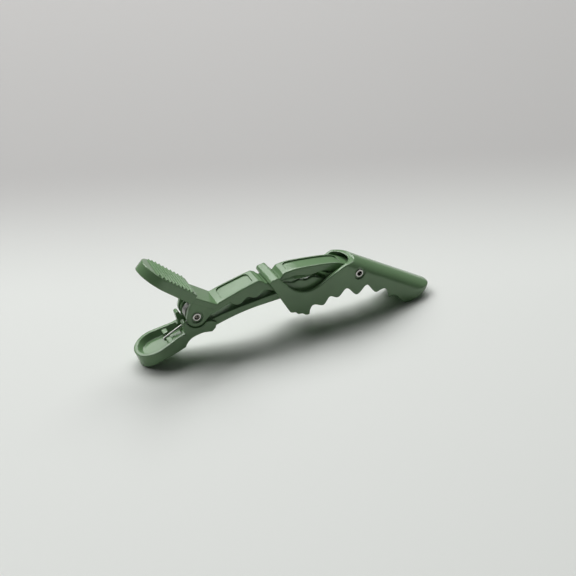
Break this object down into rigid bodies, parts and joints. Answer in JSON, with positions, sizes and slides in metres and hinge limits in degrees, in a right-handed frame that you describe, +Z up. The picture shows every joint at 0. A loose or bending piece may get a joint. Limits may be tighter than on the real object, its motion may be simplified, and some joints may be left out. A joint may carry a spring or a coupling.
{
  "type": "hair sectioning clip",
  "caption": "double-hinged crocodile hair clip in moulded plastic with spoon finger pads, toothed front jaw, two tubular rivets and a torsion spring",
  "frame": {"origin": "middle of the closed clip's bounding box, at the level of the surface it lies on", "axes": "+X from the finger pads to the nose, +Y across the clip along both rivets, +Z up"},
  "size_m": [0.1138, 0.0158, 0.0379],
  "materials": {
    "lower_plastic": "gloss",
    "upper_plastic": "gloss",
    "jaw_plastic": "gloss",
    "rivet_metal": "polished",
    "spring_steel": "satin"
  },
  "bodies": {
    "lower": {"lower_lever": "lower_plastic", "torsion_spring": "spring_steel"},
    "upper": {"upper_lever": "upper_plastic", "main_rivet": "rivet_metal", "front_rivet": "rivet_metal"},
    "jaw": {"front_jaw": "jaw_plastic"}
  },
  "joints": [
    {"name": "main_hinge", "type": "hinge", "parent": "lower", "child": "upper", "pos_m": [-0.03528, 0, 0.0156], "axis": [0, -1, 0], "range_deg": [0, 55], "stiffness_Nm_per_rad": 0.08, "springref_deg": -34.38, "deforming": ["torsion_spring"]},
    {"name": "front_hinge", "type": "hinge", "parent": "upper", "child": "jaw", "pos_m": [0.02582, 0, 0.0172], "axis": [0, 1, 0], "range_deg": [0, 9]}
  ]
}
